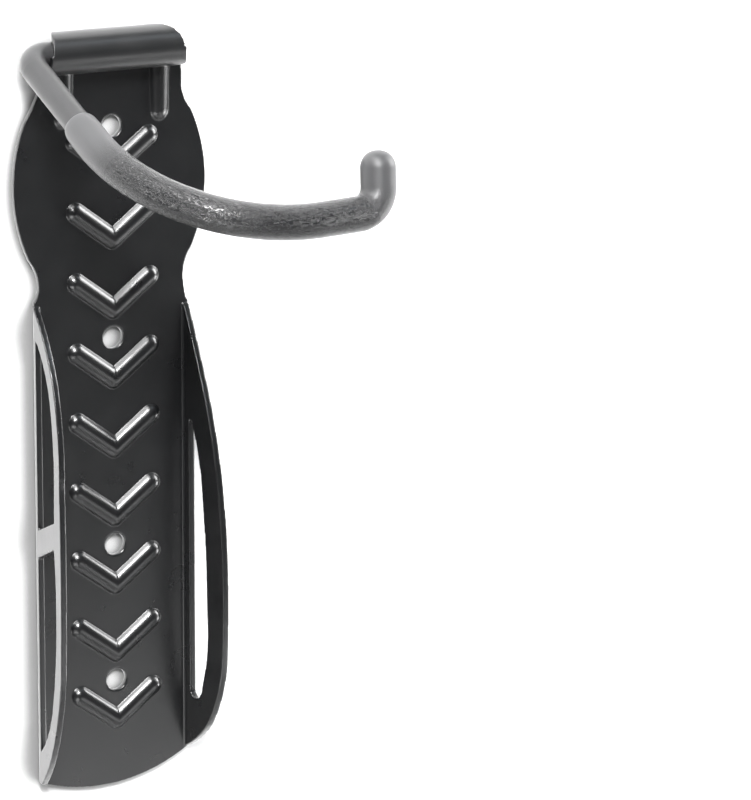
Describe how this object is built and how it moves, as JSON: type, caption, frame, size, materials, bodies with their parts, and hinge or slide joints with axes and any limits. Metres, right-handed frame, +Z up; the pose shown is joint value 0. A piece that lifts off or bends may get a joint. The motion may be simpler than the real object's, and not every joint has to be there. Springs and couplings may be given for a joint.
{
  "type": "wall mounted bicycle hook",
  "caption": "Vertical bicycle hook: stamped steel wall plate with chevron relief and side flanges, rolled barrel, bent rod hook in a soft sleeve.",
  "frame": {"origin": "middle of the plate's flat back face, on its centre line at mid height", "axes": "+Y into the wall, -Y out towards the rider, +Z up, +X to the right of someone facing the wall"},
  "size_m": [0.1011, 0.1169, 0.2925],
  "materials": {
    "black_steel": "semi-gloss powder coat",
    "grey_rod": "satin",
    "soft_sleeve": "leathery grain, semi-gloss"
  },
  "bodies": {
    "root": {"wall_plate": "black_steel", "hook_rod": "grey_rod", "hook_sleeve": "soft_sleeve"}
  },
  "joints": []
}
